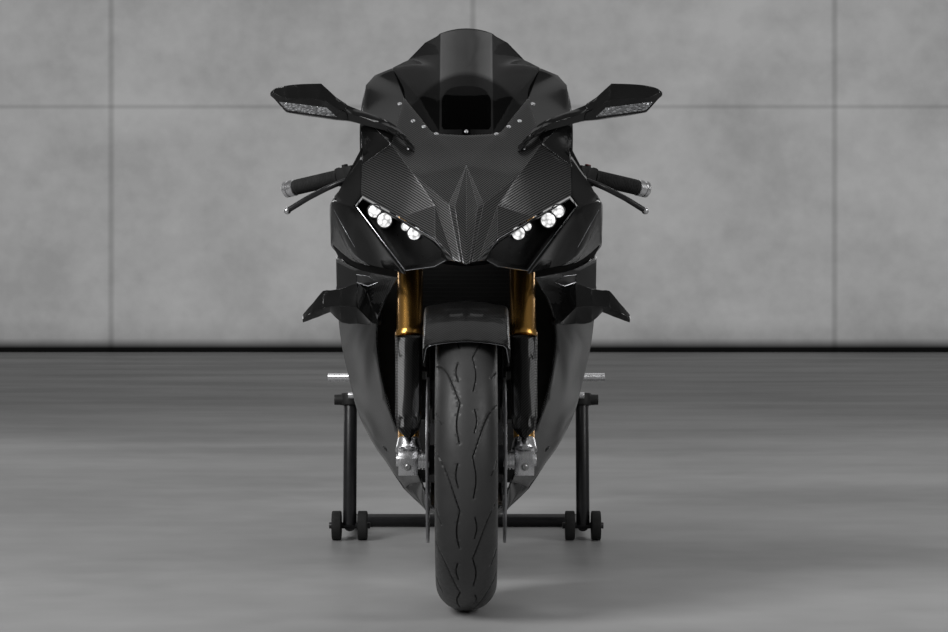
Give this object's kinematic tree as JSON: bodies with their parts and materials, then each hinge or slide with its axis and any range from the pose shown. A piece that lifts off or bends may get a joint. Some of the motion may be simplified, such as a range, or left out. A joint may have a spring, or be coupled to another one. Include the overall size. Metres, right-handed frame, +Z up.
{
  "type": "sport bike on a rear paddock stand",
  "caption": "Fully faired sport bike with steering, wheels, chain drive and folding side stand, held upright on its rear paddock stand.",
  "frame": {"origin": "on the floor under the middle of the overall length", "axes": "+Z up, the bike faces -Y, +X is the rider's left hand side"},
  "size_m": [0.82, 2.086, 1.2048],
  "materials": {
    "gloss_black": "gloss black",
    "carbon": "lacquered carbon twill",
    "matte_black": "matte black",
    "smoked": "dark tinted",
    "lamp_clear": "clear",
    "red_lamp": "dark red",
    "mirror": "mirror",
    "gold": "gold anodised",
    "silver": "machined",
    "steel": "brushed",
    "black_metal": "satin black",
    "grip_rubber": "matte",
    "tyre": "matte",
    "seat_cover": "matte",
    "chain_steel": "oiled"
  },
  "bodies": {
    "bike": {"nose_cowl": "carbon", "windscreen": "smoked", "cockpit_sides": "gloss_black", "upper_fairings": "gloss_black", "side_fairings": "gloss_black", "belly_pan": "carbon", "headlamp_trays": "matte_black", "headlamp_lenses": "lamp_clear", "instrument_pod": "matte_black", "mirrors": "gloss_black", "mirror_indicators": "lamp_clear", "mirror_glasses": "mirror", "winglets": "gloss_black", "fuel_tank": "gloss_black", "fuel_cap": "black_metal", "seat": "seat_cover", "tail_cowl": "gloss_black", "tail_lamp": "red_lamp", "frame": "black_metal", "engine_block": "black_metal", "radiator": "black_metal", "radiator_shroud": "matte_black", "exhaust": "steel", "fairing_stays": "black_metal", "swingarm": "black_metal", "rear_axle": "silver", "rear_caliper": "black_metal", "rear_hugger": "carbon", "rear_shock": "gold", "subframe": "black_metal", "rearset_plates": "black_metal", "foot_pegs": "silver", "foot_levers": "silver", "drive_chain": "chain_steel", "drive_sprocket": "steel", "stand_frame": "black_metal", "stand_hooks": "matte_black"},
    "steering": {"front_axle": "silver", "fork_outer_tubes": "gold", "fork_sliders": "silver", "front_calipers": "black_metal", "brake_ducts": "carbon", "front_mudguard": "carbon", "triple_clamps": "black_metal", "clip_on_bars": "black_metal", "grips": "grip_rubber", "bar_ends": "silver", "bar_controls": "matte_black", "levers": "black_metal"},
    "front_wheel": {"front_tyre": "tyre", "front_rim": "black_metal", "front_disc_left": "steel", "front_disc_right": "steel"},
    "rear_wheel": {"rear_tyre": "tyre", "rear_rim": "black_metal", "rear_disc": "steel", "rear_sprocket": "steel"},
    "side_stand": {"side_stand": "black_metal"},
    "stand_rollers_left": {"stand_rollers_left": "grip_rubber"},
    "stand_rollers_right": {"stand_rollers_right": "grip_rubber"}
  },
  "joints": [
    {"name": "steering_turn", "type": "hinge", "parent": "bike", "child": "steering", "pos_m": [0, -0.46019, 0.84], "axis": [0, 0.4147, 0.91], "range_deg": [-24, 24]},
    {"name": "front_wheel_spin", "type": "hinge", "parent": "steering", "child": "front_wheel", "pos_m": [0, -0.743, 0.3], "axis": [1, 0, 0], "continuous": true},
    {"name": "rear_wheel_spin", "type": "hinge", "parent": "bike", "child": "rear_wheel", "pos_m": [0, 0.707, 0.376], "axis": [1, 0, 0], "continuous": true},
    {"name": "side_stand_swing", "type": "hinge", "parent": "bike", "child": "side_stand", "pos_m": [0.17, 0.175, 0.272], "axis": [-0.9656, 0, -0.2602], "range_deg": [0, 95]},
    {"name": "stand_rollers_left_spin", "type": "hinge", "parent": "bike", "child": "stand_rollers_left", "pos_m": [0.296, 0.603, 0.037], "axis": [1, 0, 0], "continuous": true},
    {"name": "stand_rollers_right_spin", "type": "hinge", "parent": "bike", "child": "stand_rollers_right", "pos_m": [-0.296, 0.603, 0.037], "axis": [1, 0, 0], "continuous": true}
  ]
}
